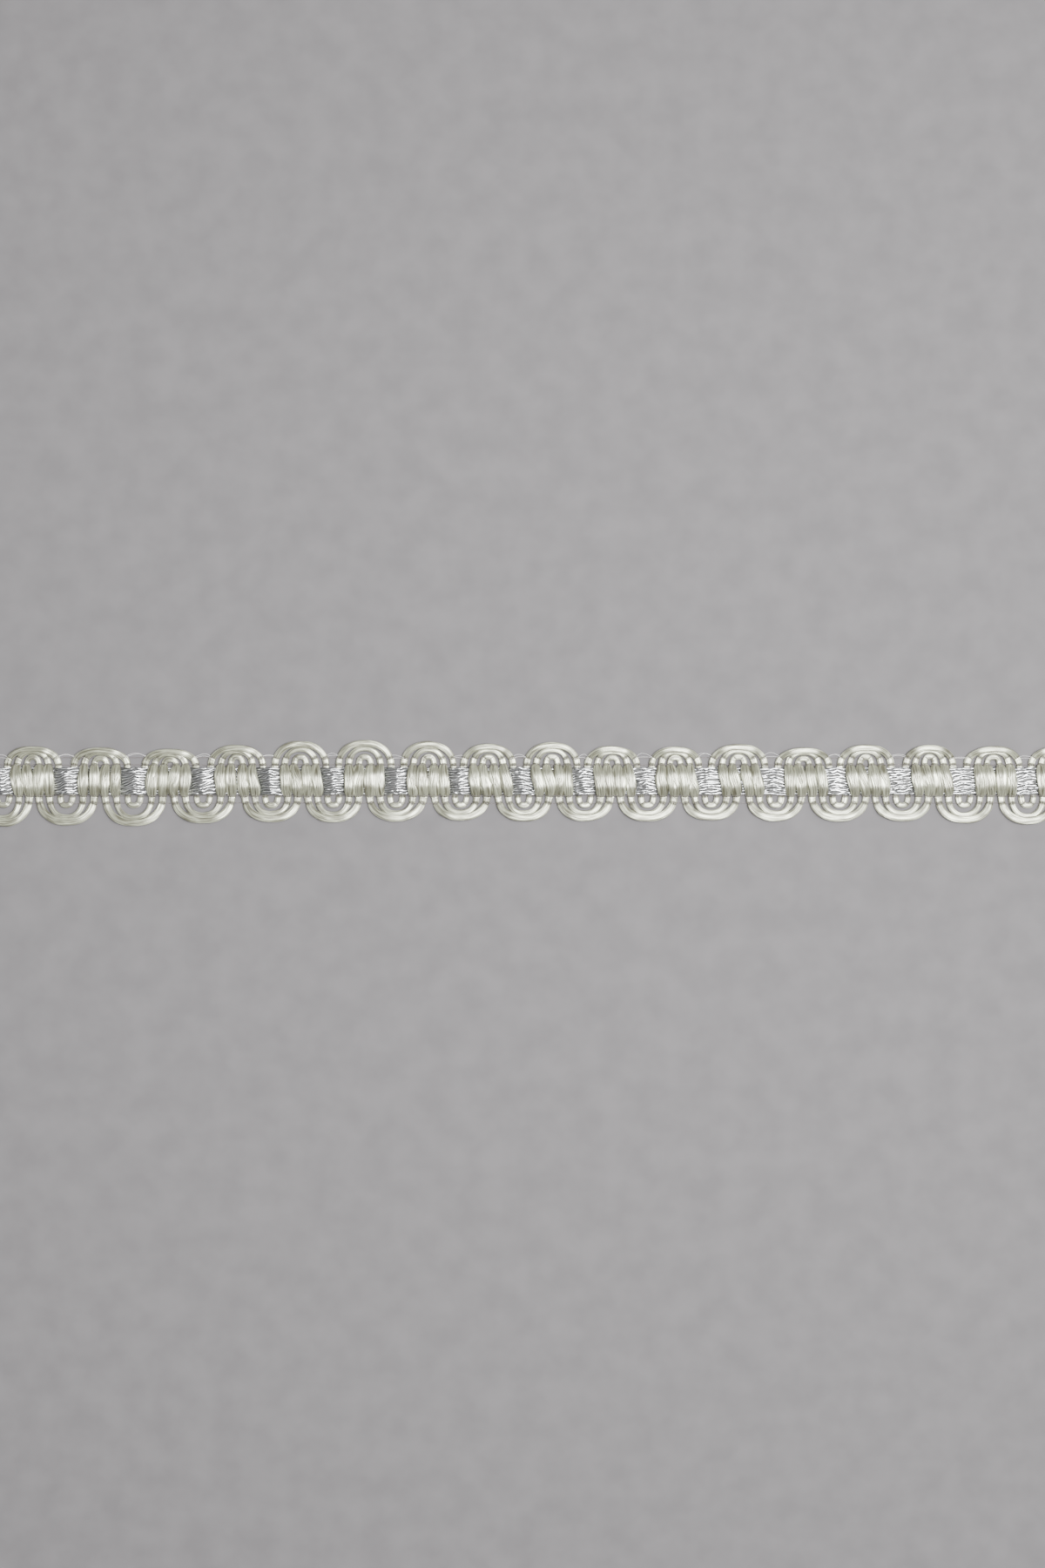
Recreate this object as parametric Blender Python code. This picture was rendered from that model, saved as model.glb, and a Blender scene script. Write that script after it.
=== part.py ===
"""A cut length of metallic gimp braid, a dress and cushion trim 12 mm wide, lying flat on its back.

Three ivory rayon gimp cords run side by side in one serpentine band. Each turn nests them: cord A is
the outermost at the top edge and the innermost at the bottom edge, cord C the other way round, and
cord B stays between them. A silver lame strip runs along the middle. It passes over the two legs of
cord A at every bottom turn, where it shows as a silver patch, and under the four legs of cords B and C
between the patches, which lie over it as satin floats.

Units are metres. +X runs along the trim, +Y to its top edge and +Z up from the surface that it lies on.
"""

import math
from collections import namedtuple

import bmesh
import bpy

MM = 0.001

# Each turn of the band: where its centre lies along the trim, half the distance between the feet of its
# outermost cord, and how far its outer edge reaches from the midline. The trim is cut square through the
# crowns of the first and the last top turn.
Turn = namedtuple("Turn", "centre half_width reach")

TOP_TURNS = [
    Turn(centre=-5.1, half_width=3.9, reach=5.1),
    Turn(centre=5.0, half_width=3.8, reach=5.1),
    Turn(centre=15.1, half_width=4.0, reach=4.9),
    Turn(centre=25.5, half_width=3.8, reach=4.7),
    Turn(centre=35.4, half_width=3.9, reach=5.3),
    Turn(centre=44.9, half_width=3.8, reach=5.9),
    Turn(centre=54.5, half_width=3.9, reach=6.0),
    Turn(centre=64.0, half_width=3.7, reach=5.8),
    Turn(centre=72.9, half_width=3.7, reach=5.5),
    Turn(centre=82.4, half_width=3.8, reach=5.7),
    Turn(centre=91.4, half_width=3.7, reach=5.1),
    Turn(centre=100.8, half_width=3.5, reach=5.0),
    Turn(centre=110.2, half_width=4.0, reach=5.4),
    Turn(centre=119.9, half_width=3.8, reach=4.9),
    Turn(centre=129.2, half_width=3.8, reach=5.3),
    Turn(centre=138.7, half_width=3.5, reach=5.3),
    Turn(centre=148.2, half_width=3.9, reach=5.1),
    Turn(centre=157.7, half_width=3.8, reach=5.0),
]
BOTTOM_TURNS = [
    Turn(centre=0.6, half_width=3.9, reach=6.7),
    Turn(centre=10.0, half_width=4.1, reach=6.6),
    Turn(centre=20.1, half_width=4.3, reach=6.7),
    Turn(centre=30.4, half_width=4.3, reach=6.3),
    Turn(centre=40.6, half_width=4.0, reach=6.1),
    Turn(centre=49.8, half_width=3.8, reach=6.2),
    Turn(centre=59.2, half_width=4.0, reach=6.0),
    Turn(centre=68.8, half_width=3.9, reach=5.9),
    Turn(centre=78.2, half_width=3.8, reach=6.0),
    Turn(centre=87.3, half_width=3.8, reach=6.0),
    Turn(centre=96.6, half_width=4.0, reach=6.0),
    Turn(centre=106.1, half_width=3.9, reach=5.9),
    Turn(centre=115.7, half_width=3.9, reach=6.0),
    Turn(centre=125.2, half_width=4.0, reach=6.0),
    Turn(centre=134.6, half_width=4.0, reach=6.0),
    Turn(centre=143.9, half_width=3.9, reach=6.3),
    Turn(centre=153.3, half_width=3.9, reach=6.4),
]
TOP, BOTTOM = 1, -1
INNERMOST = 2

# How a turn nests its cords: each one's share of the turn's half width, from the outermost inwards, and
# where the crown of the innermost cord lies when the turn has room for it.
NEST_SHARES = (1.0, 0.61, 0.23)
INNER_CROWN = {TOP: 3.5, BOTTOM: 3.9}
FOOT_LEVEL = 2.1
TURN_SQUARENESS = 2.4

# The cords, as flattened bundles of filament. The width is that at a crown, where they crowd together, and
# at the necks, where they are bound. A turn is fuller at its shoulders, and a float swells over the strip.
CORD_WIDTH = 0.60
CORD_HEIGHT = 0.51
PIECE_GAP = 0.30
SHOULDER_SWELL = 1.28
SHOULDER_SWELL_FROM = 2.8
SHOULDER_SWELL_TO = 3.6
FLOAT_SWELL = 1.45
FLOAT_SWELL_FROM = 2.4
FLOAT_SWELL_TO = 1.2
FLOAT_CLIMB_FROM = 3.5
FLOAT_CLIMB_TO = 1.7

# The lame strip, a padded tape with a domed top. It climbs on both sides of the two legs of cord A.
STRIP_WIDTH = 4.0
STRIP_THICKNESS = 1.0
STRIP_EDGE_THICKNESS = 0.65
STRIP_DOME_POWER = 3
STRIP_CROWN = 0.06
STRIP_CLIMB_FROM = 1.0
STRIP_CLIMB_TO = 0.34
STRIP_COLUMNS = (-1.0, -0.75, 0.0, 0.75, 1.0)

# How finely each shape is stepped: a turn by rank, from the outermost cord inwards, then a leg and a climb.
TURN_STEPS = (8, 6, 6)
LEG_STEPS = {"plain": 3, "float": 5}
CLIMB_STEPS = 4

MIDLINE_SHIFT = (max(t.reach for t in BOTTOM_TURNS) - max(t.reach for t in TOP_TURNS)) / 2
LENGTH_MIDDLE = (TOP_TURNS[0].centre + TOP_TURNS[-1].centre) / 2

IVORY = (0.80, 0.77, 0.66)
SILVER = (0.74, 0.76, 0.78)


def smooth_step(value, start, end):
    """0 at start and 1 at end, with level ends; start may be the larger."""
    share = min(1.0, max(0.0, (value - start) / (end - start)))
    return share * share * (3 - 2 * share)


def placed(x, y, z):
    """A point given in millimetres from the trim's midline, in the part's own frame."""
    return ((x - LENGTH_MIDDLE) * MM, (y + MIDLINE_SHIFT) * MM, z * MM)


def crown_height(turn, side, rank):
    """The distance from the midline to a cord's centre line at a crown; rank 0 is the outermost cord."""
    outermost = turn.reach - CORD_WIDTH / 2
    spacing = CORD_WIDTH + PIECE_GAP
    if rank < INNERMOST:
        return outermost - rank * spacing
    return min(INNER_CROWN[side], outermost - rank * spacing)


def foot(turn, rank, way):
    """Where a cord's foot stands along the trim; way is -1 for the left foot and 1 for the right."""
    return turn.centre + way * turn.half_width * NEST_SHARES[rank]


def turn_points(turn, side, rank, begin=0.0, end=1.0):
    """A cord's centre line round a turn, from its left foot (0) to its right foot (1), as a superellipse.

    Each point is its place along the trim, its distance from the midline, and the cord's swell there.
    """
    steps = TURN_STEPS[rank]
    half_width = turn.half_width * NEST_SHARES[rank]
    rise = crown_height(turn, side, rank) - FOOT_LEVEL
    power = 2 / TURN_SQUARENESS
    points = []
    for step in range(round(begin * steps), round(end * steps) + 1):
        angle = math.pi * (1 - step / steps)
        across = math.copysign(abs(math.cos(angle)) ** power, math.cos(angle))
        level = FOOT_LEVEL + rise * abs(math.sin(angle)) ** power
        swell = 1.0
        if rank < INNERMOST:
            shoulder = abs(math.cos(angle)) * smooth_step(level, SHOULDER_SWELL_FROM, SHOULDER_SWELL_TO)
            swell += (SHOULDER_SWELL - 1) * shoulder
        points.append((turn.centre + half_width * across, side * level, swell))
    return points


def leg_points(start_x, end_x, start_side, steps):
    """The inner points of a leg that crosses the midline, from one foot to the next."""
    points = []
    for step in range(1, steps):
        share = step / steps
        x = start_x + (end_x - start_x) * smooth_step(share, 0, 1)
        points.append((x, start_side * FOOT_LEVEL * (1 - 2 * share), 1.0))
    return points


def cord_route(rank_at_top, leg_kind):
    """One cord's centre line, from the cut through the first crown to the cut through the last."""
    rank_at = {TOP: rank_at_top, BOTTOM: INNERMOST - rank_at_top}
    turns = []
    for number, top in enumerate(TOP_TURNS):
        turns.append((top, TOP))
        if number < len(BOTTOM_TURNS):
            turns.append((BOTTOM_TURNS[number], BOTTOM))
    route = []
    for number, (turn, side) in enumerate(turns):
        begin = 0.5 if number == 0 else 0.0
        end = 0.5 if number == len(turns) - 1 else 1.0
        route += turn_points(turn, side, rank_at[side], begin, end)
        if number + 1 < len(turns):
            following, other_side = turns[number + 1]
            start_x = foot(turn, rank_at[side], 1)
            end_x = foot(following, rank_at[other_side], -1)
            route += leg_points(start_x, end_x, side, LEG_STEPS[leg_kind])
    return route


def cord_profile(collection):
    """The hexagonal section that the cords share, flat underneath, as a bevel profile."""
    curve = bpy.data.curves.new("cord_profile", "CURVE")
    curve.dimensions = "2D"
    spline = curve.splines.new("POLY")
    half_width, half_height = CORD_WIDTH / 2 * MM, CORD_HEIGHT / 2 * MM
    corners = [(1, 0), (0.5, -1), (-0.5, -1), (-1, 0), (-0.5, 1), (0.5, 1)]
    spline.points.add(len(corners) - 1)
    for point, (across, up) in zip(spline.points, corners):
        point.co = (across * half_width, up * half_height, 0, 1)
    spline.use_cyclic_u = True
    profile = bpy.data.objects.new("cord_profile", curve)
    profile.hide_render = True
    profile.display_type = "WIRE"
    collection.objects.link(profile)
    return profile


def make_cord(name, rank_at_top, over_the_strip, profile, material, collection):
    """A gimp cord. One that lies over the strip climbs onto it at each leg and swells into a float."""
    curve = bpy.data.curves.new(name, "CURVE")
    curve.dimensions = "3D"
    curve.twist_mode = "Z_UP"
    curve.bevel_mode = "OBJECT"
    curve.bevel_object = profile
    curve.use_fill_caps = True
    spline = curve.splines.new("POLY")
    route = cord_route(rank_at_top, "float" if over_the_strip else "plain")
    spline.points.add(len(route) - 1)
    for point, (x, y, swell) in zip(spline.points, route):
        underside = 0.0
        if over_the_strip:
            swell += (FLOAT_SWELL - 1) * smooth_step(abs(y), FLOAT_SWELL_FROM, FLOAT_SWELL_TO)
            climb = smooth_step(abs(y), FLOAT_CLIMB_FROM, FLOAT_CLIMB_TO)
            underside = (STRIP_THICKNESS + PIECE_GAP) * climb
        point.co = (*placed(x, y, underside + CORD_HEIGHT / 2 * swell), 1)
        point.radius = swell
    curve.materials.append(material)
    cord = bpy.data.objects.new(name, curve)
    collection.objects.link(cord)
    return cord


def strip_stations():
    """The strip's underside along the trim: the height, and where it lies at the strip's two edges."""
    bridge = CORD_HEIGHT + PIECE_GAP
    first, last = TOP_TURNS[0].centre, TOP_TURNS[-1].centre
    stations = [((first, first), 0.0)]
    for number, turn in enumerate(BOTTOM_TURNS):
        before, after = TOP_TURNS[number], TOP_TURNS[number + 1]
        # The two legs of cord A at this turn, each as its place at the strip's top edge and bottom edge.
        left = leg_at_edges(foot(before, 0, 1), foot(turn, INNERMOST, -1))
        right = leg_at_edges(foot(after, 0, -1), foot(turn, INNERMOST, 1))
        for step in range(CLIMB_STEPS + 1):
            share = step / CLIMB_STEPS
            offset = STRIP_CLIMB_FROM + (STRIP_CLIMB_TO - STRIP_CLIMB_FROM) * share
            stations.append((tuple(x - offset for x in left), bridge * smooth_step(share, 0, 1)))
        middle = tuple((a + b) / 2 for a, b in zip(left, right))
        stations.append((middle, bridge + STRIP_CROWN))
        for step in range(CLIMB_STEPS + 1):
            share = 1 - step / CLIMB_STEPS
            offset = STRIP_CLIMB_FROM + (STRIP_CLIMB_TO - STRIP_CLIMB_FROM) * share
            stations.append((tuple(x + offset for x in right), bridge * smooth_step(share, 0, 1)))
    stations.append(((last, last), 0.0))
    return stations


def leg_at_edges(top_x, bottom_x):
    """Where a leg between two feet crosses the strip's top edge and bottom edge."""
    found = []
    for side in (TOP, BOTTOM):
        share = (FOOT_LEVEL - side * STRIP_WIDTH / 2) / (2 * FOOT_LEVEL)
        found.append(top_x + (bottom_x - top_x) * smooth_step(share, 0, 1))
    return tuple(found)


def strip_thickness(share):
    """The tape's thickness at a share of its half width from its middle."""
    fall = abs(share) ** STRIP_DOME_POWER
    return STRIP_THICKNESS - (STRIP_THICKNESS - STRIP_EDGE_THICKNESS) * fall


def make_strip(name, material, collection):
    """The lame strip: its underside as an open sheet, extruded upwards to its thickness."""
    shape = bmesh.new()
    rows = []
    for (top_x, bottom_x), height in strip_stations():
        row = []
        for share in STRIP_COLUMNS:
            x = bottom_x + (top_x - bottom_x) * (1 + share) / 2
            row.append(shape.verts.new(placed(x, share * STRIP_WIDTH / 2, height)))
        rows.append(row)
    for row, following in zip(rows, rows[1:]):
        for column in range(len(STRIP_COLUMNS) - 1):
            corners = (row[column], following[column], following[column + 1], row[column + 1])
            shape.faces.new(corners)
    extruded = bmesh.ops.extrude_face_region(shape, geom=shape.faces[:])
    for corner in extruded["geom"]:
        if isinstance(corner, bmesh.types.BMVert):
            share = (corner.co.y / MM - MIDLINE_SHIFT) / (STRIP_WIDTH / 2)
            corner.co.z += strip_thickness(share) * MM
    bmesh.ops.recalc_face_normals(shape, faces=shape.faces)
    mesh = bpy.data.meshes.new(name)
    shape.to_mesh(mesh)
    shape.free()
    mesh.materials.append(material)
    strip = bpy.data.objects.new(name, mesh)
    collection.objects.link(strip)
    return strip


def make_material(name, colour, roughness, metallic):
    material = bpy.data.materials.new(name)
    material.use_nodes = True
    shader = material.node_tree.nodes["Principled BSDF"]
    shader.inputs["Base Color"].default_value = (*colour, 1.0)
    shader.inputs["Roughness"].default_value = roughness
    shader.inputs["Metallic"].default_value = metallic
    material.diffuse_color = (*colour, 1.0)
    return material


def main():
    for old in list(bpy.data.objects):
        bpy.data.objects.remove(old)
    braid = bpy.data.collections.new("metallic_gimp_braid")
    helpers = bpy.data.collections.new("profiles")
    bpy.context.scene.collection.children.link(braid)
    bpy.context.scene.collection.children.link(helpers)

    ivory = make_material("ivory_rayon", IVORY, roughness=0.38, metallic=0.0)
    silver = make_material("silver_lame", SILVER, roughness=0.25, metallic=1.0)
    profile = cord_profile(helpers)
    make_cord("gimp_cord_a", 0, False, profile, ivory, braid)
    make_cord("gimp_cord_b", 1, True, profile, ivory, braid)
    make_cord("gimp_cord_c", 2, True, profile, ivory, braid)
    make_strip("lame_strip", silver, braid)


main()
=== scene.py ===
"""Looks of the metallic gimp braid: filament cords, crimped lame yarns, binding threads and a studio.

Sizes are millimetres from the trim's midline and its left photo edge, as in the part's own source, and
placed() turns them into the frame's metres.
"""

import math
from collections import namedtuple

import bpy
import numpy as np
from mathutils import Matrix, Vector


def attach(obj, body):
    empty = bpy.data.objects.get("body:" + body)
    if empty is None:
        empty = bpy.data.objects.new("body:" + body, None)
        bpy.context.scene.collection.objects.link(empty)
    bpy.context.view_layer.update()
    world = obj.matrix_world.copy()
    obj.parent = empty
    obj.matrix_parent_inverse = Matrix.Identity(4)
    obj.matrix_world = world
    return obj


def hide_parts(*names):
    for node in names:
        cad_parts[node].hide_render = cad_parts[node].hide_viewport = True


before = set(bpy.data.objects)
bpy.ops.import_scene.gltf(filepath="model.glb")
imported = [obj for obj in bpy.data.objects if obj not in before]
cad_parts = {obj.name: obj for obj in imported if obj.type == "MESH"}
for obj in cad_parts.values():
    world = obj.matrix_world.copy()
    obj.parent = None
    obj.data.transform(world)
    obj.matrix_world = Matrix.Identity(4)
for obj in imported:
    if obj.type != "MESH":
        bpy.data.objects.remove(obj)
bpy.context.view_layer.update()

MM = 0.001

# The turns of the band, as the part has them.
Turn = namedtuple("Turn", "centre half_width reach")

TOP_TURNS = [
    Turn(centre=-5.1, half_width=3.9, reach=5.1),
    Turn(centre=5.0, half_width=3.8, reach=5.1),
    Turn(centre=15.1, half_width=4.0, reach=4.9),
    Turn(centre=25.5, half_width=3.8, reach=4.7),
    Turn(centre=35.4, half_width=3.9, reach=5.3),
    Turn(centre=44.9, half_width=3.8, reach=5.9),
    Turn(centre=54.5, half_width=3.9, reach=6.0),
    Turn(centre=64.0, half_width=3.7, reach=5.8),
    Turn(centre=72.9, half_width=3.7, reach=5.5),
    Turn(centre=82.4, half_width=3.8, reach=5.7),
    Turn(centre=91.4, half_width=3.7, reach=5.1),
    Turn(centre=100.8, half_width=3.5, reach=5.0),
    Turn(centre=110.2, half_width=4.0, reach=5.4),
    Turn(centre=119.9, half_width=3.8, reach=4.9),
    Turn(centre=129.2, half_width=3.8, reach=5.3),
    Turn(centre=138.7, half_width=3.5, reach=5.3),
    Turn(centre=148.2, half_width=3.9, reach=5.1),
    Turn(centre=157.7, half_width=3.8, reach=5.0),
]
BOTTOM_TURNS = [
    Turn(centre=0.6, half_width=3.9, reach=6.7),
    Turn(centre=10.0, half_width=4.1, reach=6.6),
    Turn(centre=20.1, half_width=4.3, reach=6.7),
    Turn(centre=30.4, half_width=4.3, reach=6.3),
    Turn(centre=40.6, half_width=4.0, reach=6.1),
    Turn(centre=49.8, half_width=3.8, reach=6.2),
    Turn(centre=59.2, half_width=4.0, reach=6.0),
    Turn(centre=68.8, half_width=3.9, reach=5.9),
    Turn(centre=78.2, half_width=3.8, reach=6.0),
    Turn(centre=87.3, half_width=3.8, reach=6.0),
    Turn(centre=96.6, half_width=4.0, reach=6.0),
    Turn(centre=106.1, half_width=3.9, reach=5.9),
    Turn(centre=115.7, half_width=3.9, reach=6.0),
    Turn(centre=125.2, half_width=4.0, reach=6.0),
    Turn(centre=134.6, half_width=4.0, reach=6.0),
    Turn(centre=143.9, half_width=3.9, reach=6.3),
    Turn(centre=153.3, half_width=3.9, reach=6.4),
]
TOP, BOTTOM = 1, -1
INNERMOST = 2
NEST_SHARES = (1.0, 0.61, 0.23)
INNER_CROWN = 3.62
FOOT_LEVEL = 2.1
TURN_SQUARENESS = (2.3, 2.3, 2.6)
# The distance between the outer two cords at a crown. Above, it grows with the turn's reach.
BOTTOM_SPACING = 0.66
TIGHT_SPACING = 0.30
WIDE_SPACING = 0.80
TIGHT_REACH = 5.0
WIDER_BY = 0.9
INNER_SPACING = 0.85
FIRST_END = TOP_TURNS[0].centre
LAST_END = TOP_TURNS[-1].centre

# The cords at their full, soft thickness. They touch at a crown, where the outermost one leans on the
# next in a tight turn, and they are pinched where a thread binds them.
LEG_HALF_WIDTHS = (0.49, 0.46, 0.42)
CROWN_HALF_WIDTHS = {TOP: (0.45, 0.37, 0.37), BOTTOM: (0.54, 0.41, 0.42)}
CROWN_OVERHANG = {TOP: 0.08, BOTTOM: 0.0}
CROWN_RISES = (0.36, 0.24, 0.12)
LOOP_HALF_HEIGHT = 0.29
UNDER_HALF_HEIGHT = 0.25
LEAN = 0.38
FLOAT_HALF_WIDTH = {1: 0.82, 2: 0.88}
FLOAT_HALF_HEIGHT = 0.38
FLOAT_ENDS = 2.5
SQUARENESS = 0.45
# How high a float has climbed onto the tape at each distance from the midline.
CLIMB_LEVELS = (0.0, 0.5, 1.0, 1.4, 1.65, 1.9, 2.2, 2.45, 3.5)
CLIMB_RISES = (1.18, 1.175, 1.15, 1.11, 1.0, 0.68, 0.26, 0.04, 0.0)
BINDING_LEVELS = (3.45, 2.4, -2.2, -3.3)
PINCH_REACH = 0.10
CORD_SIDES = 40
GROOVE_DEPTHS = (0.13, 0.18)
RING_STEP = 0.26
PINCH_STEP = 0.085
# How strongly painted shade darkens a cord in its grooves and at its sides.
PAINTED_SHADE_STRENGTH = 0.55

# Rises and dips of the strands: how many there are round the cord, and their length along it.
Ripple = namedtuple("Ripple", "lobes period")
RIPPLES = (
    Ripple(lobes=2, period=2.2),
    Ripple(lobes=3, period=1.6),
    Ripple(lobes=5, period=1.1),
    Ripple(lobes=8, period=0.8),
)
RIPPLE_HEIGHT = 0.046

# Fine threads.
THREAD_STEP = 0.16
THREAD_RADIUS = 0.034
THREAD_STEEPEST = 1.3
FILAMENTS_PER_GAP = 2
SLIVERS_PER_FLOAT = 3
SLIVER_REACH = 2.32
# How strong the painted shade on a sliver's edges and flanks is, against a yarn's.
SLIVER_PAINTED_SHADE = 0.22
FILAMENTS_PER_CUT = 9

# The lame tape: a flat tube of crimped metallised yarns round a dark core, whose darkness is painted
# shade.
TAPE_HALF_WIDTH = 2.0
TAPE_THICKNESS = 1.0
TAPE_EDGE_THICKNESS = 0.5
TAPE_DOME_POWER = 2.2
BRIDGE_HEIGHT = 0.62
PATCH_ARCH = 0.58
PATCH_ARCH_RIGHT = 0.22
PATCH_MARGIN = 1.0
BRIDGE_RAMP = 0.66
FACE_YARNS = 11
YARN_STEP = 0.15
YARN_ROLL = math.radians(30)
YARN_CALMING = 0.35
YARN_HALF_WIDTH = 0.152
YARN_CREST = 0.055
# Painted shade at each point of a yarn's section: its edges and flanks darker, its crest left bright.
# The back yarns are darkened on their face and edges and left bright at the middle of their back.
YARN_PAINTED_SHADES = (0.9, 0.36, 0.0, 0.36, 0.9, 1.0)
BACK_YARN_PAINTED_SHADES = (0.8, 0.8, 0.8, 0.8, 0.8, 0.0)
# Between these places the patches turn flatter and their yarns calmer, as the photo shows them.
CALM_FROM = 60.0
CALM_TO = 112.0

# The photo shows this much of the trim, in a frame half as high again as it is wide.
PHOTO_WIDTH = 156.0
PHOTO_ASPECT = 1.5

SEED = 11


def smooth_step(value, start, end):
    """0 at start and 1 at end, with level ends; start may be the larger."""
    share = np.clip((value - start) / (end - start), 0.0, 1.0)
    return share * share * (3 - 2 * share)


def wander(positions, period, seed):
    """Smooth noise from -1 to 1 along the given positions, with one new value each period."""
    from_start = (positions - positions.min()) / period
    values = np.random.default_rng(SEED + seed).uniform(-1, 1, int(from_start.max()) + 3)
    left = from_start.astype(int)
    share = smooth_step(from_start - left, 0.0, 1.0)
    return values[left] * (1 - share) + values[left + 1] * share


def placed(points):
    """Points in millimetres from the midline, in the frame's metres."""
    middle = (FIRST_END + LAST_END) / 2
    shift = (max(t.reach for t in BOTTOM_TURNS) - max(t.reach for t in TOP_TURNS)) / 2
    return (np.asarray(points) + (-middle, shift, 0.0)) * MM


def foot(turn, rank, way):
    """Where a cord leaves a turn for its leg, to the left (-1) or the right (1)."""
    return turn.centre + way * turn.half_width * NEST_SHARES[rank]


def crown_spacing(turn):
    """How far the middle cord's centre line lies inside the outermost one's at a crown."""
    if turn in BOTTOM_TURNS:
        return BOTTOM_SPACING
    share = min(max((turn.reach - TIGHT_REACH) / WIDER_BY, 0.0), 1.0)
    return TIGHT_SPACING + (WIDE_SPACING - TIGHT_SPACING) * share


def crown_height(turn, rank):
    """The distance from the midline to a cord's centre line at a crown."""
    side = BOTTOM if turn in BOTTOM_TURNS else TOP
    outermost = turn.reach + CROWN_OVERHANG[side] - CROWN_HALF_WIDTHS[side][0]
    middle = outermost - crown_spacing(turn)
    return (outermost, middle, min(INNER_CROWN, middle - INNER_SPACING))[rank]


def turn_line(turn, side, rank, begin, end):
    """A cord's centre line round a turn: a superellipse from its left foot (0) to its right foot (1)."""
    angle = np.pi * (1 - np.linspace(begin, end, 60))
    power = 2 / TURN_SQUARENESS[rank]
    across = np.sign(np.cos(angle)) * np.abs(np.cos(angle)) ** power
    rise = crown_height(turn, rank) - FOOT_LEVEL
    x = turn.centre + turn.half_width * NEST_SHARES[rank] * across
    y = side * (FOOT_LEVEL + rise * np.abs(np.sin(angle)) ** power)
    return np.column_stack([x, y])


def leg_line(start_x, end_x, start_side):
    """A cord's centre line from a foot at one edge to a foot at the other."""
    share = np.linspace(0, 1, 30)[1:-1]
    x = start_x + (end_x - start_x) * smooth_step(share, 0.0, 1.0)
    y = start_side * FOOT_LEVEL * (1 - 2 * share)
    return np.column_stack([x, y])


def all_turns():
    """The turns from left to right, each with its side."""
    turns = []
    for number, top in enumerate(TOP_TURNS):
        turns.append((top, TOP))
        if number < len(BOTTOM_TURNS):
            turns.append((BOTTOM_TURNS[number], BOTTOM))
    return turns


def cord_line(rank_at_top):
    """One cord's centre line from cut to cut, as close points: x, y and its rise towards a crown."""
    rank_at = {TOP: rank_at_top, BOTTOM: INNERMOST - rank_at_top}
    turns = all_turns()
    pieces = []
    for number, (turn, side) in enumerate(turns):
        begin = 0.5 if number == 0 else 0.0
        end = 0.5 if number == len(turns) - 1 else 1.0
        around = turn_line(turn, side, rank_at[side], begin, end)
        tight = (WIDE_SPACING - crown_spacing(turn)) / (WIDE_SPACING - TIGHT_SPACING)
        if rank_at[side] > 0:
            tight = 0.0
        crown = crown_height(turn, rank_at[side])
        rise = CROWN_RISES[rank_at[side]] * smooth_step(np.abs(around[:, 1]), 2.9, crown)
        rise = rise + LEAN * tight * smooth_step(np.abs(around[:, 1]), crown - 1.0, crown - 0.1)
        pieces.append(np.column_stack([around, rise]))
        if number + 1 < len(turns):
            following, other_side = turns[number + 1]
            start_x = foot(turn, rank_at[side], 1)
            end_x = foot(following, rank_at[other_side], -1)
            leg = leg_line(start_x, end_x, side)
            pieces.append(np.column_stack([leg, np.zeros(len(leg))]))
    return np.concatenate(pieces)


def evenly(line, step):
    """The line resampled at about this spacing, and the distance along it of each point."""
    along = np.concatenate([[0], np.cumsum(np.linalg.norm(np.diff(line, axis=0), axis=1))])
    wanted = np.linspace(0, along[-1], int(along[-1] / step) + 1)
    return np.column_stack([np.interp(wanted, along, line[:, k]) for k in range(line.shape[1])]), wanted


def directions(points):
    tangent = np.gradient(points, axis=0)
    return tangent / np.linalg.norm(tangent, axis=1, keepdims=True)


Cord = namedtuple("Cord", "points along half_width half_height float_share grip")


def smoothed(values, rounds=4):
    """The values with their corners rounded, the ends kept."""
    for _ in range(rounds):
        inner = (values[:-2] + 2 * values[1:-1] + values[2:]) / 4
        values = np.concatenate([values[:1], inner, values[-1:]])
    return values


def bound(line):
    """How strongly a binding thread pinches the cord at each point, from 0 to about 1."""
    grip = np.zeros(len(line))
    steep = np.abs(directions(line[:, :2])[:, 1]) ** 4
    for level in BINDING_LEVELS:
        grip += np.exp(-(((line[:, 1] - level) / PINCH_REACH) ** 2)) * steep
    return grip


def denser_at_pinches(line, along):
    """The line's points again, closer together where a thread pinches the cord."""
    wide_grip = np.zeros(len(line))
    for level in BINDING_LEVELS:
        near = np.exp(-(((line[:, 1] - level) / (2.4 * PINCH_REACH)) ** 2))
        wide_grip = np.maximum(wide_grip, near)
    spacing = RING_STEP + (PINCH_STEP - RING_STEP) * wide_grip
    count = np.concatenate([[0], np.cumsum(np.diff(along) / spacing[1:])])
    wanted = np.interp(np.linspace(0, count[-1], int(count[-1]) + 1), count, along)
    return np.column_stack([np.interp(wanted, along, column) for column in line.T]), wanted


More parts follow.
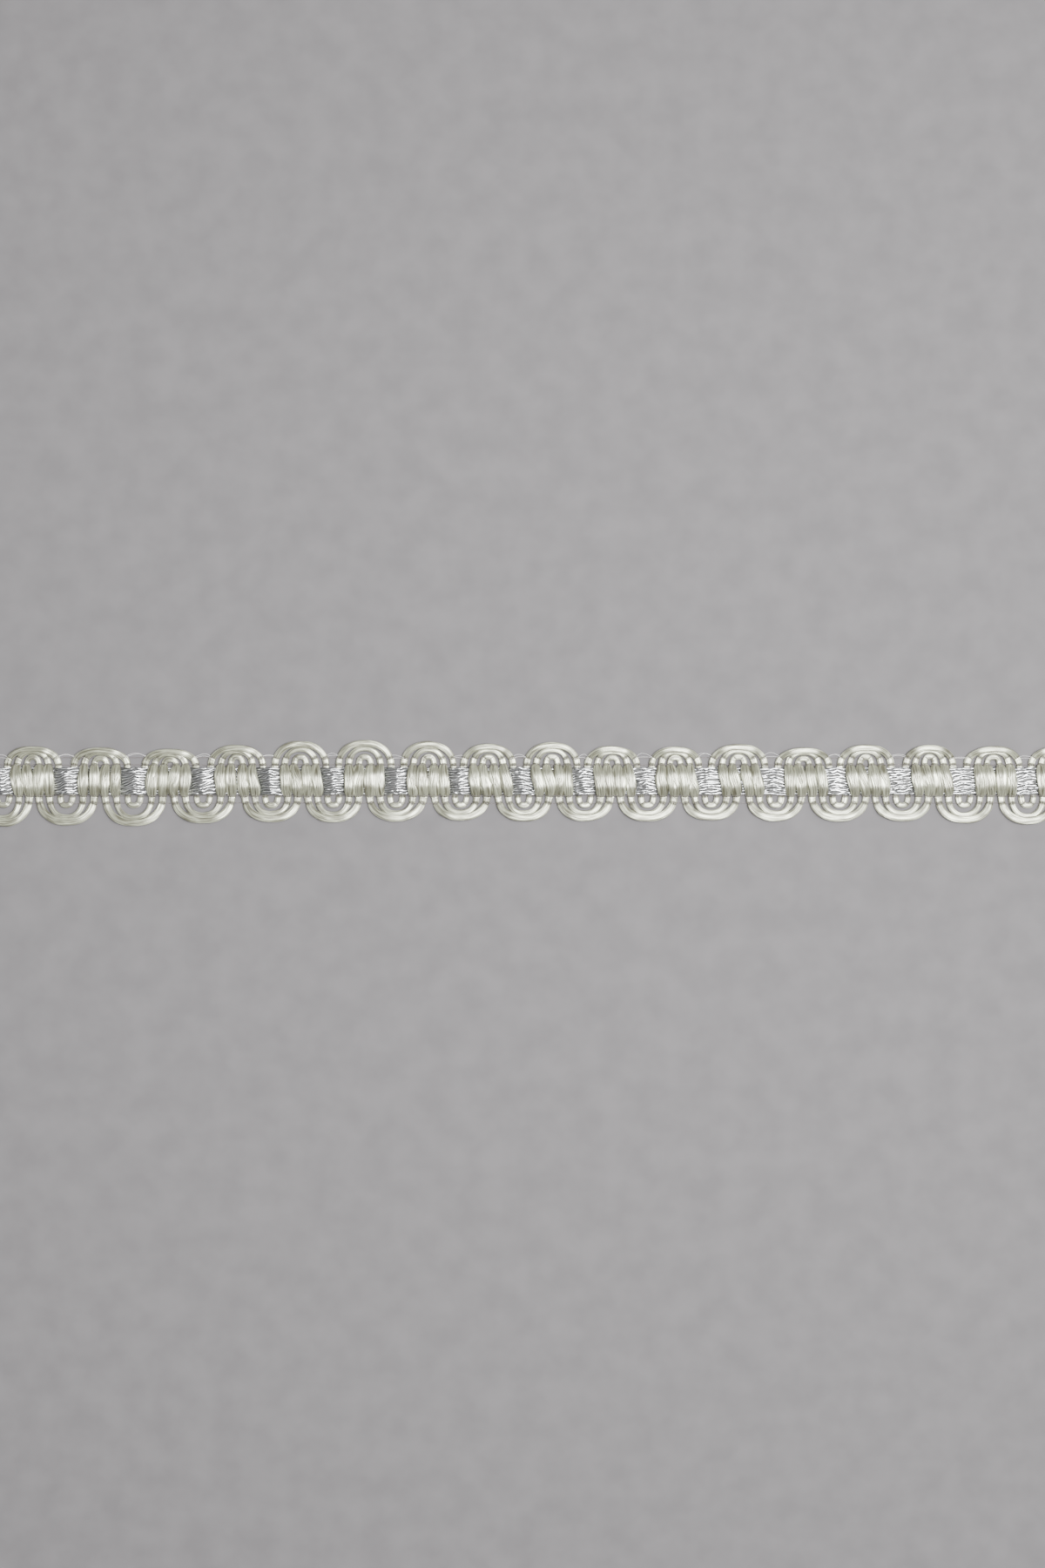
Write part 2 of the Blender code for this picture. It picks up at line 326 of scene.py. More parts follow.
def dressed_cord(rank_at_top, seed):
    """A cord's centre line in 3-D with its half width and half height at each point."""
    line, along = denser_at_pinches(*evenly(cord_line(rank_at_top), 0.05))
    rise = line[:, 2]
    line = line[:, :2]
    tangent = directions(line)
    level = np.abs(line[:, 1])
    grip = bound(line)

    upper = smooth_step(line[:, 1], -2.0, 2.0)
    ranks = {TOP: rank_at_top, BOTTOM: INNERMOST - rank_at_top}
    leg_width = LEG_HALF_WIDTHS[ranks[BOTTOM]] * (1 - upper) + LEG_HALF_WIDTHS[ranks[TOP]] * upper
    crown_widths = {side: CROWN_HALF_WIDTHS[side][rank] for side, rank in ranks.items()}
    crown_width = crown_widths[BOTTOM] * (1 - upper) + crown_widths[TOP] * upper
    half_width = leg_width + (crown_width - leg_width) * smooth_step(level, 3.2, 4.2)
    half_width = half_width * (1 + 0.06 * wander(along, 1.7, seed))
    half_height = np.full(len(line), LOOP_HALF_HEIGHT) * (1 + 0.06 * wander(along, 2.3, seed + 1))
    height = half_height + rise

    if rank_at_top > 0:
        bulge = np.clip(1 - (level / FLOAT_ENDS) ** 3, 0, 1)
        full_width = FLOAT_HALF_WIDTH[rank_at_top] * (1 + 0.12 * wander(along, 4.2, seed + 2))
        half_width = half_width + (full_width - half_width) * bulge
        half_height = half_height + (FLOAT_HALF_HEIGHT - half_height) * bulge
        # A float arches over the tape and lies a little out of line, as loose filament does.
        off_middle = 1.0 * wander(along, 5.3, seed + 6) * np.clip(1 - level / 2.2, 0, 1)
        own_level = np.abs(line[:, 1] + off_middle) + 0.15 * smooth_step(line[:, 1], -1.2, -2.0)
        fullness = 1 - 0.10 * bulge * wander(along, 5.5, seed + 7)
        height = height + smoothed(np.interp(own_level, CLIMB_LEVELS, CLIMB_RISES)) * fullness
        line[:, 0] += 0.19 * wander(along, 3.1, seed + 3) * bulge
    else:
        bulge = np.zeros(len(line))
        flattened = smooth_step(level, 2.6, 2.0)
        half_height = half_height + (UNDER_HALF_HEIGHT - half_height) * flattened
        height = height + (UNDER_HALF_HEIGHT + 0.02 - height) * flattened
    sideways = np.column_stack([-tangent[:, 1], tangent[:, 0]])
    line = line + sideways * (0.04 * wander(along, 2.9, seed + 4))[:, None]

    half_width = half_width * (1 - 0.09 * grip)
    half_height = half_height * (1 - 0.32 * grip)
    points = np.column_stack([line, height - 0.05 * grip])
    points[:, 2] = np.maximum(points[:, 2], half_height + 0.005)
    return Cord(points, along, half_width, half_height, bulge, grip)


def swept_mesh(name, rings, along):
    """A closed tube through rings of points (ring, side, xyz), with U round it and V along it in cm."""
    count, sides, _ = rings.shape
    index = np.arange(count * sides).reshape(count, sides)
    here, there = index[:-1], index[1:]
    quads = np.stack([here, np.roll(here, -1, 1), np.roll(there, -1, 1), there], axis=-1).reshape(-1, 4)
    faces = quads.tolist() + [index[0][::-1].tolist(), index[-1].tolist()]
    mesh = bpy.data.meshes.new(name)
    mesh.from_pydata(placed(rings.reshape(-1, 3)).tolist(), [], faces)
    u = np.arange(sides) / sides
    u_next = u + 1 / sides
    v = along / 10
    corner_u = np.broadcast_to(np.stack([u, u_next, u_next, u], axis=-1), (count - 1, sides, 4))
    v_corners = np.stack([v[:-1], v[:-1], v[1:], v[1:]], axis=-1)
    corner_v = np.broadcast_to(v_corners[:, None, :], (count - 1, sides, 4))
    uv = np.zeros((len(mesh.loops), 2), np.float32)
    uv[: corner_u.size, 0] = corner_u.ravel()
    uv[: corner_v.size, 1] = corner_v.ravel()
    mesh.uv_layers.new(name="along").data.foreach_set("uv", uv.ravel())
    return mesh


def side_and_up(points):
    """For each point of a line, the level direction across it and the one square to both."""
    tangent = directions(points)
    side = np.column_stack([-tangent[:, 1], tangent[:, 0], np.zeros(len(points))])
    side /= np.maximum(np.linalg.norm(side, axis=1, keepdims=True), 1e-9)
    return side, np.cross(tangent, side)


def strand_relief(around, drift):
    """The strands of filament round a cord, from 0 in a groove to 1 on a crest. They drift along it."""
    broad = np.abs(np.cos(2.5 * around + 1.4 * drift + 0.4)) ** 0.7
    fine = np.abs(np.cos(6.5 * around - 2.3 * drift + 1.3)) ** 0.8
    return 0.5 * broad + 0.5 * fine


def strand_ripples(around, along, seed):
    """Slight rises and dips of each strand along it, so that each catches the light elsewhere."""
    ripples = np.zeros((len(along), len(around)))
    for number, ripple in enumerate(RIPPLES):
        phase = 1.7 * number + 2 * np.pi * wander(along, 9.0, seed + 70 + number)[:, None]
        strength = wander(along, ripple.period, seed + 80 + number)[:, None]
        ripples += RIPPLE_HEIGHT * strength * np.cos(ripple.lobes * around[None, :] + phase)
    return ripples


def cord_rings(cord, seed):
    """The cord's sections, grooved between their strands, and how much painted shade each point gets."""
    side, up = side_and_up(cord.points)
    # The points of a section lie closer together on top, where the strands show.
    share = np.linspace(0, 2 * np.pi, CORD_SIDES, endpoint=False)
    around = share - 0.35 * np.sin(share) + np.pi / 2
    drift = 1.6 * wander(cord.along, 6.0, seed + 5) + 0.5 * wander(cord.along, 1.9, seed + 8)
    relief = strand_relief(around[None, :], drift[:, None])
    depth = GROOVE_DEPTHS[0] + (GROOVE_DEPTHS[1] - GROOVE_DEPTHS[0]) * cord.float_share[:, None]
    grown = 1.05 - depth * (1 - relief)
    grown = grown + strand_ripples(around, cord.along, seed) * (1 + cord.float_share[:, None])
    # The section is a superellipse, flatter on top than an oval.
    power = 2 / (2 + SQUARENESS)
    cosine, sine = np.cos(around)[None, :], np.sin(around)[None, :]
    across = np.sign(cosine) * np.abs(cosine) ** power * cord.half_width[:, None] * grown
    upward = np.sign(sine) * np.abs(sine) ** power * cord.half_height[:, None] * grown
    rings = cord.points[:, None, :] + side[:, None, :] * across[:, :, None]
    rings = rings + up[:, None, :] * upward[:, :, None]
    rings[:, :, 2] = np.maximum(rings[:, :, 2], 0.0)
    # Painted shade: darker in the grooves between the strands and at the sides of the section, where
    # neighbouring strands shade it.
    groove_shade = np.clip(1.3 * (1 - relief) - 0.25, 0, 1)
    side_shade = smooth_step(sine, 0.5, 0.0) * smooth_step(sine, -0.8, -0.3)
    return rings, np.maximum(PAINTED_SHADE_STRENGTH * groove_shade, PAINTED_SHADE_STRENGTH * side_shade)


def add_piece(name, mesh, material):
    """The mesh as a smooth piece of the trim, which rides with it."""
    mesh.materials.append(material)
    mesh.shade_smooth()
    piece = bpy.data.objects.new(name, mesh)
    bpy.context.scene.collection.objects.link(piece)
    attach(piece, "root")
    return piece


def shade(mesh, values):
    """Keeps how much painted shade each point gets, for the materials to darken its colour by."""
    painted_shade = mesh.attributes.new("painted_shade", "FLOAT", "POINT")
    painted_shade.data.foreach_set("value", np.ravel(values).astype(np.float32))


def joined(name, meshes):
    """Several meshes as one."""
    points, faces, uvs, offset = [], [], [], 0
    for mesh in meshes:
        points += [v.co[:] for v in mesh.vertices]
        faces += [[offset + i for i in face.vertices] for face in mesh.polygons]
        offset += len(mesh.vertices)
        uv = np.zeros(len(mesh.loops) * 2, np.float32)
        mesh.uv_layers[0].data.foreach_get("uv", uv)
        uvs.append(uv)
        bpy.data.meshes.remove(mesh)
    whole = bpy.data.meshes.new(name)
    whole.from_pydata(points, [], faces)
    whole.uv_layers.new(name="along").data.foreach_set("uv", np.concatenate(uvs))
    return whole


def round_tube(name, points, radius, sides=6):
    """A fine thread of round section along a line."""
    along = np.concatenate([[0], np.cumsum(np.linalg.norm(np.diff(points, axis=0), axis=1))])
    side, up = side_and_up(points)
    around = np.linspace(0, 2 * np.pi, sides, endpoint=False)
    cosine, sine = np.cos(around)[None, :, None], np.sin(around)[None, :, None]
    ring = side[:, None, :] * cosine + up[:, None, :] * sine
    return swept_mesh(name, points[:, None, :] + radius * ring, along)


def surface_height(x, y, cords):
    """The highest cord surface over each point, or 0 where there is none."""
    height = np.zeros(len(x))
    for cord in cords:
        gap = np.hypot(x[:, None] - cord.points[None, :, 0], y[:, None] - cord.points[None, :, 1])
        share = gap / cord.half_width[None, :]
        top = cord.points[None, :, 2] + cord.half_height[None, :] * np.sqrt(np.clip(1 - share**2, 0, 1))
        height = np.maximum(height, np.where(share < 1, top, 0).max(axis=1))
    return height


def stretched_over(height, step, steepest):
    """A thread's line over a surface: it touches the high places and spans the gaps, never too steep."""
    height = height.copy()
    for i in range(1, len(height)):
        height[i] = max(height[i], height[i - 1] - steepest * step)
    for i in range(len(height) - 2, -1, -1):
        height[i] = max(height[i], height[i + 1] - steepest * step)
    kernel = np.array([1, 2, 3, 2, 1]) / 9
    padded = np.concatenate([height[:1].repeat(2), height, height[-1:].repeat(2)])
    return np.convolve(padded, kernel, mode="valid")


def binding_threads(cords, material):
    """Four threads along the trim over the cords, two beside each tape edge, each with a mate below."""
    x = np.arange(FIRST_END + 0.1, LAST_END, THREAD_STEP)
    meshes = []
    for number, level in enumerate(BINDING_LEVELS):
        y = level + 0.05 * wander(x, 2.4, 40 + number)
        height = np.maximum(surface_height(x, y, cords), 0.16)
        z = stretched_over(height, THREAD_STEP, THREAD_STEEPEST) + 0.005
        meshes.append(round_tube("thread", np.column_stack([x, y, z]), THREAD_RADIUS))
        back = np.column_stack([x, y + 0.06 * np.sin(x * 5.2 + number), np.full_like(x, 0.045)])
        meshes.append(round_tube("thread", back, THREAD_RADIUS, sides=5))
    return add_piece("binding_threads", joined("binding_threads", meshes), material)


def looping_filaments(material):
    """Fine colourless filament that arches across the gaps between the upper turns."""
    chance = np.random.default_rng(SEED + 60)
    meshes = []
    for before, after in zip(TOP_TURNS, TOP_TURNS[1:]):
        left = foot(before, 0, 1) - 0.15
        right = foot(after, 0, -1) + 0.15
        for _ in range(FILAMENTS_PER_GAP):
            share = np.linspace(0, 1, 15)
            start = left - chance.uniform(0, 0.5)
            end = right + chance.uniform(0, 0.5)
            bulge = chance.uniform(0.05, 0.75)
            lean = chance.uniform(-0.3, 0.3)
            arch = np.sin(np.pi * share)
            x = start + (end - start) * share + lean * arch
            y = 3.4 + chance.uniform(-0.15, 0.25) + bulge * arch
            z = 0.55 - 0.25 * arch
            line = np.column_stack([x, y, z])
            meshes.append(round_tube("filament", line, radius=0.026, sides=5))
    return add_piece("looping_filaments", joined("looping_filaments", meshes), material)


def leg_at_edges(top_x, bottom_x):
    """Where a leg between two feet crosses the tape's top edge and bottom edge."""
    found = []
    for side in (TOP, BOTTOM):
        share = (FOOT_LEVEL - side * TAPE_HALF_WIDTH) / (2 * FOOT_LEVEL)
        found.append(top_x + (bottom_x - top_x) * float(smooth_step(share, 0.0, 1.0)))
    return found


def patches():
    """For each patch, its middle and half length at the tape's top edge and at its bottom edge."""
    found = []
    for number, turn in enumerate(BOTTOM_TURNS):
        before, after = TOP_TURNS[number], TOP_TURNS[number + 1]
        left = leg_at_edges(foot(before, 0, 1), foot(turn, INNERMOST, -1))
        right = leg_at_edges(foot(after, 0, -1), foot(turn, INNERMOST, 1))
        found.append([((a + b) / 2, (b - a) / 2 + PATCH_MARGIN) for a, b in zip(left, right)])
    return found


PATCHES = patches()


def tape_surfaces(x, y):
    """The tape's underside and top over each point."""
    share = np.clip((y / TAPE_HALF_WIDTH + 1) / 2, 0, 1)
    under = np.zeros_like(x)
    arch = np.zeros_like(x)
    for (top_middle, top_half), (bottom_middle, bottom_half) in PATCHES:
        middle = bottom_middle + (top_middle - bottom_middle) * share
        half = bottom_half + (top_half - bottom_half) * share
        inward = half - np.abs(x - middle)
        under = np.maximum(under, BRIDGE_HEIGHT * smooth_step(inward, 0.0, BRIDGE_RAMP))
        calm = float(smooth_step(bottom_middle, CALM_FROM, CALM_TO))
        rise = PATCH_ARCH + (PATCH_ARCH_RIGHT - PATCH_ARCH) * calm
        arch = np.maximum(arch, rise * (1 - np.clip(1 - inward / half, 0, 1) ** 1.4))
    fall = np.abs(np.clip(y / TAPE_HALF_WIDTH, -1, 1)) ** TAPE_DOME_POWER
    thickness = TAPE_THICKNESS - (TAPE_THICKNESS - TAPE_EDGE_THICKNESS) * fall
    return under, thickness + arch


def slanted(x, place):
    """How far the yarns stray sideways: over a patch they slant one way and then often the other."""
    chance = np.random.default_rng(SEED + 400)
    stray = np.zeros_like(x)
    for (top_middle, top_half), (bottom_middle, bottom_half) in PATCHES:
        left_slope, right_slope = chance.uniform(0.08, 0.38), chance.uniform(-0.3, 0.3)
        middle = (top_middle + bottom_middle) / 2
        half = (top_half + bottom_half) / 2
        from_middle = x - middle
        slant = left_slope * np.clip(from_middle, -half, 0) + right_slope * np.clip(from_middle, 0, half)
        stray += slant * smooth_step(np.abs(from_middle), half + 1.2, half)
    return stray * (1 - np.abs(place / TAPE_HALF_WIDTH) ** 3)


def yarn_rings(points, roll, breadth, crest):
    """Sections of a flat crimped yarn: an edge, three points over its crest, an edge and its back."""
    side, up = side_and_up(points)
    across = (side * np.cos(roll)[:, None] + up * np.sin(roll)[:, None]) * breadth[:, None]
    out = up * np.cos(roll)[:, None] - side * np.sin(roll)[:, None]
    shares = (1.0, 0.55, 0.0, -0.55, -1.0)
    top = [points + across * share + out * crest * (1 - share**2) for share in shares]
    rings = np.stack(top + [points - out * 0.015], axis=1)
    rings[:, :, 2] = np.maximum(rings[:, :, 2], 0.004)
    return rings


def yarn_mesh(x, place, seed, on_top):
    """One yarn along the tape, at this place across it."""
    outer = abs(place / TAPE_HALF_WIDTH) ** 4
    y = place + slanted(x, place) + 0.12 * wander(x, 0.65, seed)
    under, top = tape_surfaces(x, y)
    crinkle = wander(x, 0.50, seed + 1)
    calmer = 1 - YARN_CALMING * smooth_step(x, CALM_FROM, CALM_TO)
    twist = 0.7 * wander(x, 0.8, seed + 2) + 0.5 * wander(x, 0.4, seed + 3)
    roll = YARN_ROLL * calmer * (1 + outer) * twist
    breadth = YARN_HALF_WIDTH * (1 + 0.38 * wander(x, 0.65, seed + 4))
    if on_top:
        points = np.column_stack([x, y, top + 0.075 * crinkle])
        return swept_mesh("yarn", yarn_rings(points, roll, breadth, YARN_CREST), x - x[0])
    points = np.column_stack([x, y, under + 0.035 + 0.01 * crinkle])
    return swept_mesh("yarn", yarn_rings(points, 0.3 * roll, breadth, 0.015), x - x[0])


def edge_yarn_mesh(x, side_of_tape, share, seed):
    """One yarn that stands on edge round the side of the tape."""
    y = np.full_like(x, side_of_tape * (TAPE_HALF_WIDTH - 0.04))
    under, top = tape_surfaces(x, y)
    z = under + (top - under) * share + 0.04 * wander(x, 0.45, seed)
    points = np.column_stack([x, y + 0.04 * wander(x, 0.6, seed + 1), z])
    roll = np.full_like(x, -side_of_tape * math.radians(80)) + 0.4 * wander(x, 0.5, seed + 2)
    breadth = YARN_HALF_WIDTH * (1 + 0.2 * wander(x, 0.55, seed + 3))
    return swept_mesh("yarn", yarn_rings(points, roll, breadth, 0.04), x - x[0])


def lame_tape(silver, core_shade):
    """The tape: a face and a back of yarns, and between them a dark core that is painted shade."""
    fine = np.arange(FIRST_END, LAST_END + 0.01, YARN_STEP)
    coarse = np.arange(FIRST_END, LAST_END + 0.01, 2 * YARN_STEP)
    pitch = 2 * TAPE_HALF_WIDTH / FACE_YARNS
    places = [-TAPE_HALF_WIDTH + pitch * (k + 0.5) for k in range(FACE_YARNS)]
    face = [yarn_mesh(fine, place, 100 + 7 * k, True) for k, place in enumerate(places)]
    back = [yarn_mesh(coarse, place, 200 + 7 * k, False) for k, place in enumerate(places)]
    edges = [
        edge_yarn_mesh(coarse, side, share, 300 + 10 * number + side)
        for side in (TOP, BOTTOM)
        for number, share in enumerate((0.25, 0.72))
    ]
    for name, yarns in (("lame_face_yarns", face), ("lame_back_yarns", back + edges)):
        # Painted shade on the yarns' edges and flanks.
        kinds = [BACK_YARN_PAINTED_SHADES if yarn in back else YARN_PAINTED_SHADES for yarn in yarns]
        shades = [np.tile(kind, len(yarn.vertices) // len(kind)) for kind, yarn in zip(kinds, yarns)]
        mesh = joined(name, yarns)
        shade(mesh, np.concatenate(shades))
        piece = add_piece(name, mesh, silver)
        if name == "lame_face_yarns":
            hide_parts("lame_strip")
    add_piece("lame_core", painted_shade_core_mesh(), core_shade)


def painted_shade_core_mesh():
    """A dark core inside the tape, painted shade that shows between the yarns."""
    x = np.arange(FIRST_END + 0.05, LAST_END, 0.3)
    inset = 0.09
    columns = np.array([-1, -0.75, 0, 0.75, 1]) * (TAPE_HALF_WIDTH - inset)
    upper, lower = [], []
    for column in columns:
        y = np.full_like(x, column)
        under, top = tape_surfaces(x, y)
        upper.append(np.column_stack([x, y, top - inset]))
        lower.append(np.column_stack([x, y, under + inset]))
    rings = np.stack(upper[::-1] + lower, axis=1)
    return swept_mesh("lame_core", rings, x - x[0])


def loose_slivers(cords, material):
    """Slivers of the filament that lie a little across their float, some onto the next one."""
    chance = np.random.default_rng(SEED + 90)
    meshes, shades = [], []
    for cord in cords[1:]:
        on_float = np.abs(cord.points[:, 1]) < SLIVER_REACH
        changes = np.flatnonzero(np.diff(on_float.astype(int))) + 1
        for first, last in zip(changes[::2], changes[1::2]):
            side, up = side_and_up(cord.points[first:last])
            share = np.linspace(-1, 1, last - first)
            half_width = cord.half_width[first:last]
            for _ in range(SLIVERS_PER_FLOAT):
                start, end = chance.uniform(-0.75, 0.75, 2)
                offset = (start + (end - start) * smooth_step(share, -1, 1)) * half_width
                inward = np.clip(1 - (offset / half_width) ** 2, 0, 1) ** 0.4
                lift = cord.half_height[first:last] * inward + 0.05 - 0.16 * np.abs(share) ** 6
                centre = cord.points[first:last] + side * offset[:, None] + up * lift[:, None]
                breadth = chance.uniform(0.10, 0.20) * (1 - 0.6 * np.abs(share) ** 3)
                roll = np.full(len(share), chance.uniform(-0.3, 0.3))
                rings = yarn_rings(centre, roll, breadth, 0.07)
                meshes.append(swept_mesh("sliver", rings, cord.along[first:last]))
                # Painted shade on the slivers' edges and flanks, weaker than on the yarns.
                shades.append(np.tile(YARN_PAINTED_SHADES, last - first) * SLIVER_PAINTED_SHADE)
    mesh = joined("loose_slivers", meshes)
    shade(mesh, np.concatenate(shades))
    return add_piece("loose_slivers", mesh, material)


def cut_end_filaments(cords, material):
    """A few loose filaments at the two cut ends of each cord."""
    chance = np.random.default_rng(SEED + 80)
    meshes = []
    for cord in cords:
        for end, way in ((0, -1), (-1, 1)):
            for _ in range(FILAMENTS_PER_CUT):
                start = cord.points[end] + (
                    0.0,
                    chance.uniform(-0.7, 0.7) * cord.half_width[end],
                    chance.uniform(-0.6, 0.6) * cord.half_height[end],
                )
                length = chance.uniform(0.25, 0.8)
                share = np.linspace(-0.3, 1, 7)
                x = start[0] + way * length * share
                y = start[1] + chance.uniform(-0.35, 0.35) * np.clip(share, 0, 1) ** 2
                z = np.maximum(start[2] - 0.15 * np.clip(share, 0, 1) ** 2, 0.03)
                line = np.column_stack([x, y, z])
                meshes.append(round_tube("filament", line, radius=0.022, sides=5))
    return add_piece("cut_end_filaments", joined("cut_end_filaments", meshes), material)


def new_material(name):
    material = bpy.data.materials.new(name)
    material.use_nodes = True
    return material, material.node_tree.nodes, material.node_tree.links


def streaks(nodes, links, scale_round, scale_along, detail=3.0):
    """Noise drawn out along the UV's length."""
    place = nodes.new("ShaderNodeTexCoord")
    mapping = nodes.new("ShaderNodeMapping")
    mapping.inputs["Scale"].default_value = (scale_round, scale_along, 1.0)
    noise = nodes.new("ShaderNodeTexNoise")
    noise.inputs["Scale"].default_value = 1.0
    noise.inputs["Detail"].default_value = detail
    links.new(place.outputs["UV"], mapping.inputs["Vector"])
    links.new(mapping.outputs["Vector"], noise.inputs["Vector"])
    return noise.outputs["Fac"]


def colour_ramp(nodes, links, factor, low, high, start=0.3, end=0.7):
    ramp = nodes.new("ShaderNodeValToRGB")
    ramp.color_ramp.elements[0].position = start
    ramp.color_ramp.elements[0].color = (*low, 1.0)
    ramp.color_ramp.elements[1].position = end
    ramp.color_ramp.elements[1].color = (*high, 1.0)
    links.new(factor, ramp.inputs["Fac"])
    return ramp.outputs["Color"]


def with_painted_shade(nodes, links, colour, share):
    """Painted shade: the colour, multiplied by the share as far as the mesh's painted shade attribute
    says.
    """
    painted_shade = nodes.new("ShaderNodeAttribute")
    painted_shade.attribute_name = "painted_shade"
    darker = nodes.new("ShaderNodeMix")
    darker.data_type = "RGBA"
    darker.blend_type = "MULTIPLY"
    darker.inputs["B"].default_value = (*share, 1.0)
    links.new(painted_shade.outputs["Fac"], darker.inputs["Factor"])
    links.new(colour, darker.inputs["A"])
    return darker.outputs["Result"]


def rayon_material():
    """Glossy untwisted filament: satin along its length, with fine streaks."""
    material, nodes, links = new_material("ivory_rayon_filament")
    shader = nodes["Principled BSDF"]
    shader.inputs["Roughness"].default_value = 0.42
    shader.inputs["Metallic"].default_value = 0.52
    shader.inputs["Anisotropic"].default_value = 0.75
    shader.inputs["Sheen Weight"].default_value = 0.18
    shader.inputs["Sheen Roughness"].default_value = 0.35
    shader.inputs["Specular IOR Level"].default_value = 1.0
    shader.inputs["IOR"].default_value = 2.1
    broad = streaks(nodes, links, 11.0, 3.0)
    colour = colour_ramp(nodes, links, broad, (0.19, 0.185, 0.125), (0.71, 0.74, 0.565), 0.41, 0.60)
    # Painted shade: the cord's colour is darkened between its strands, at the sides of its section and
    # in the creases that the binding threads press into it.
    links.new(with_painted_shade(nodes, links, colour, (0.15, 0.13, 0.10)), shader.inputs["Base Color"])
    fine = streaks(nodes, links, 34.0, 5.0, detail=4.0)
    bump = nodes.new("ShaderNodeBump")
    bump.inputs["Strength"].default_value = 0.8
    bump.inputs["Distance"].default_value = 0.000012
    links.new(fine, bump.inputs["Height"])
    links.new(bump.outputs["Normal"], shader.inputs["Normal"])
    tangent = nodes.new("ShaderNodeTangent")
    tangent.direction_type = "UV_MAP"
    tangent.uv_map = "along"
    links.new(tangent.outputs["Tangent"], shader.inputs["Tangent"])
    return material


def lame_material():
    """Bright metallised film with slight tarnish and scuffs, and painted shade on its yarns' edges and
    flanks.
    """
    material, nodes, links = new_material("silver_lame_film")
    shader = nodes["Principled BSDF"]
    shader.inputs["Metallic"].default_value = 1.0
    patchy = streaks(nodes, links, 1.5, 6.0)
    colour = colour_ramp(nodes, links, patchy, (0.60, 0.62, 0.65), (0.97, 0.98, 1.0))
    # Painted shade: the yarns' edges and flanks are darkened through the painted shade attribute.
    links.new(with_painted_shade(nodes, links, colour, (0.09, 0.092, 0.094)), shader.inputs["Base Color"])
    rough = nodes.new("ShaderNodeMapRange")
    rough.inputs["To Min"].default_value = 0.20
    rough.inputs["To Max"].default_value = 0.46
    links.new(streaks(nodes, links, 2.0, 9.0), rough.inputs["Value"])
    links.new(rough.outputs["Result"], shader.inputs["Roughness"])
    bump = nodes.new("ShaderNodeBump")
    bump.inputs["Strength"].default_value = 0.4
    bump.inputs["Distance"].default_value = 0.00001
    links.new(streaks(nodes, links, 3.0, 14.0), bump.inputs["Height"])
    links.new(bump.outputs["Normal"], shader.inputs["Normal"])
    return material


def thread_material(name, low, high, roughness):
    material, nodes, links = new_material(name)
    shader = nodes["Principled BSDF"]
    shader.inputs["Roughness"].default_value = roughness
    shader.inputs["Sheen Weight"].default_value = 0.1
    twist = streaks(nodes, links, 2.0, 25.0)
    links.new(colour_ramp(nodes, links, twist, low, high), shader.inputs["Base Color"])
    return material


def add_floor():
    """A large plain sheet of paper under the trim."""
    bpy.ops.mesh.primitive_plane_add(size=4.0, location=(0, 0, 0))
    floor = bpy.context.object
    floor.name = "floor"
    material, nodes, links = new_material("floor_paper")
    shader = nodes["Principled BSDF"]
    shader.inputs["Roughness"].default_value = 0.85
    grain = nodes.new("ShaderNodeTexNoise")
    grain.inputs["Scale"].default_value = 900.0
    links.new(
        colour_ramp(nodes, links, grain.outputs["Fac"], (0.145, 0.139, 0.148), (0.17, 0.163, 0.173)),
        shader.inputs["Base Color"],
    )
    floor.data.materials.append(material)


def aimed(obj, target):
    obj.rotation_euler = (Vector(target) - obj.location).to_track_quat("-Z", "Y").to_euler()


def add_light(name, location, size, power, colour=(1, 1, 1)):
    data = bpy.data.lights.new(name, "AREA")
    data.shape = "RECTANGLE"
    data.size, data.size_y = size
    data.energy = power
    data.color = colour
    light = bpy.data.objects.new(name, data)
    light.location = location
    bpy.context.scene.collection.objects.link(light)
    aimed(light, (0, 0, 0))


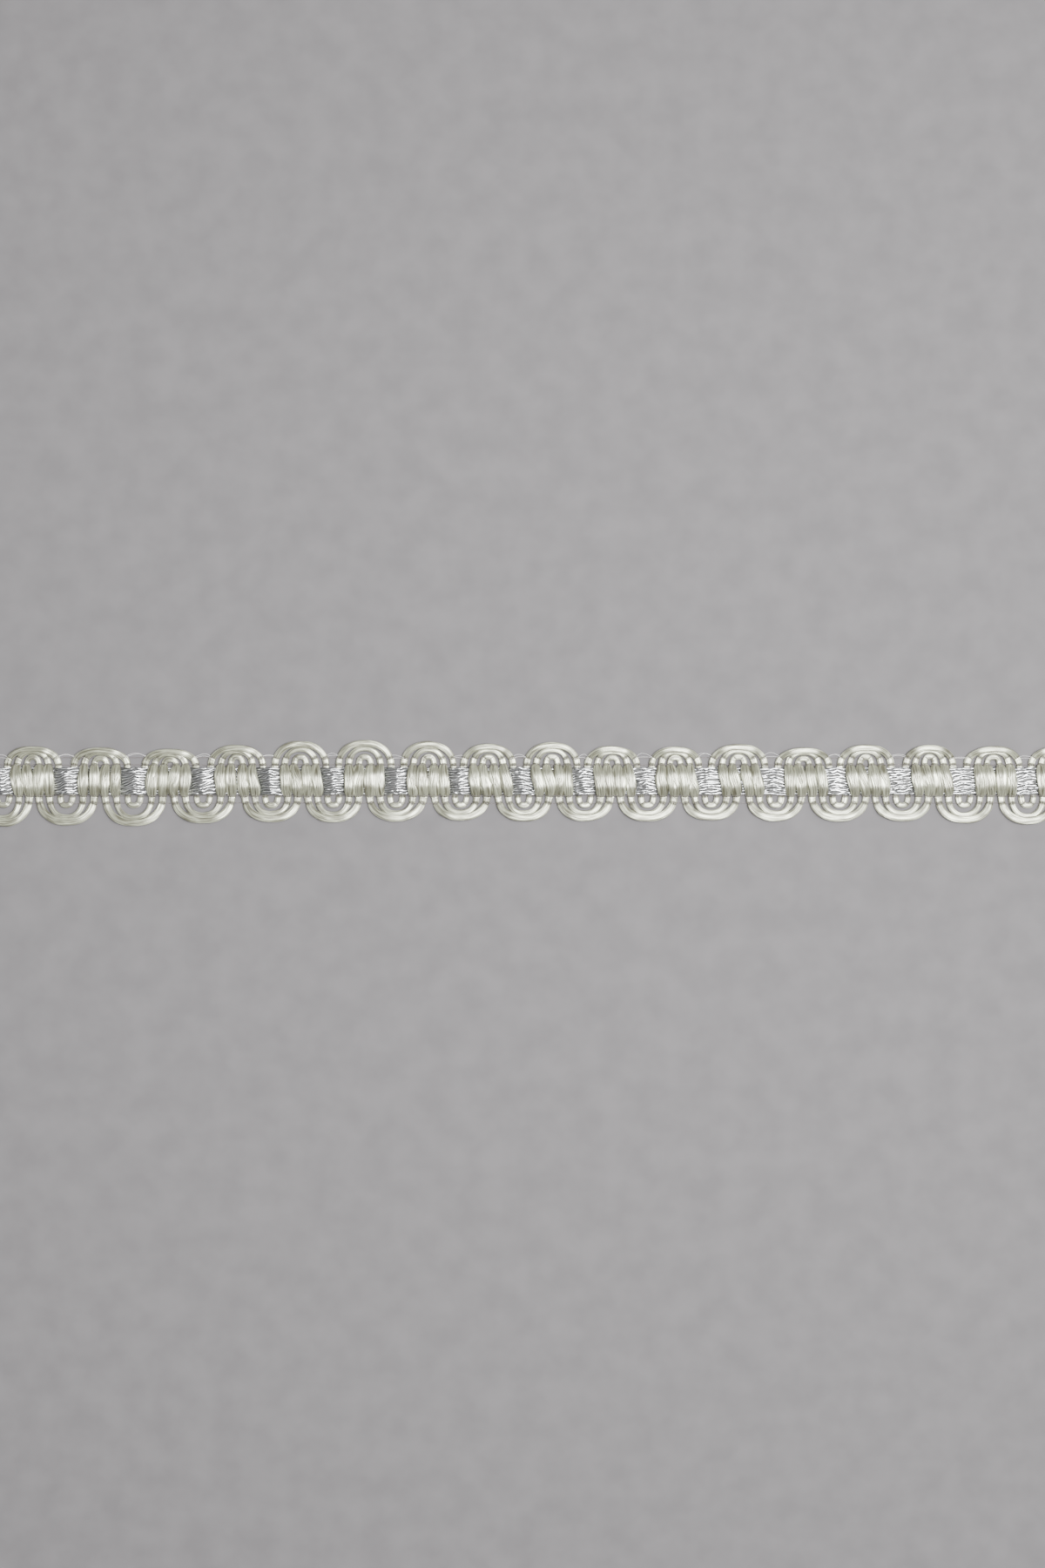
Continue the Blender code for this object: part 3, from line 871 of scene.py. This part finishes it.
def add_studio():
    """Soft light: a window and a lamp from the right, two weak strips from the left, a pale world."""
    world = bpy.data.worlds.new("studio")
    bpy.context.scene.world = world
    world.use_nodes = True
    world.node_tree.nodes["Background"].inputs["Color"].default_value = (1.0, 0.98, 0.94, 1.0)
    world.node_tree.nodes["Background"].inputs["Strength"].default_value = 0.22
    add_light("window", (0.27, 0.10, 0.40), (0.40, 0.30), 1.1, (0.99, 1.0, 0.97))
    add_light("lamp", (0.09, 0.015, 0.40), (0.12, 0.22), 4.2, (1.0, 1.0, 0.97))
    add_light("left_strip", (-0.30, 0.0, 0.34), (0.03, 0.40), 0.07)
    add_light("far_left_strip", (-0.44, 0.0, 0.22), (0.05, 0.40), 0.12)


def add_camera():
    """Straight above, centred where the photo's frame is, so that it takes in what the photo does."""
    middle_x = placed([[PHOTO_WIDTH / 2, 0.0, 0.0]])[0][0]
    middle_y = -0.0001
    distance = 0.35
    frame_height = PHOTO_WIDTH * PHOTO_ASPECT * MM
    data = bpy.data.cameras.new("camera")
    data.sensor_width = 36.0
    data.lens = 36.0 * distance / frame_height
    data.clip_start = 0.01
    camera = bpy.data.objects.new("camera", data)
    camera.location = (middle_x, middle_y, distance)
    bpy.context.scene.collection.objects.link(camera)
    bpy.context.scene.camera = camera


def main():
    for leftover in ("Cube", "Light", "Camera"):
        if leftover in bpy.data.objects:
            bpy.data.objects.remove(bpy.data.objects[leftover])
    rayon = rayon_material()
    silver = lame_material()
    # The core's near-black colour is painted shade for the gaps between the yarns.
    core_shade = thread_material("tape_core_painted_shade", (0.08, 0.08, 0.082), (0.15, 0.15, 0.154), 0.5)
    # The binding thread is colourless filament. Its dark colour is painted shade, for the shadowed
    # creases where it presses into the cords.
    thread = thread_material("binding_thread", (0.11, 0.095, 0.095), (0.24, 0.21, 0.21), 0.3)
    filament = thread_material("clear_filament", (0.80, 0.78, 0.80), (0.92, 0.90, 0.92), 0.2)

    cords = []
    for rank, letter in enumerate("abc"):
        cord = dressed_cord(rank, seed=10 * rank)
        cords.append(cord)
        name = f"gimp_cord_{letter}_rayon"
        rings, shaded = cord_rings(cord, seed=10 * rank)
        mesh = swept_mesh(name, rings, cord.along)
        # Painted shade: in the grooves, at the sides and in the creases where the binding threads pinch
        # the cord.
        shade(mesh, np.maximum(shaded, np.clip(1.7 * cord.grip[:, None], 0, 1)))
        piece = add_piece(name, mesh, rayon)
        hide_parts(f"gimp_cord_{letter}")
    lame_tape(silver, core_shade)
    binding_threads(cords, thread)
    looping_filaments(filament)
    loose_slivers(cords, rayon)
    cut_end_filaments(cords, rayon)

    add_floor()
    add_studio()
    add_camera()


main()
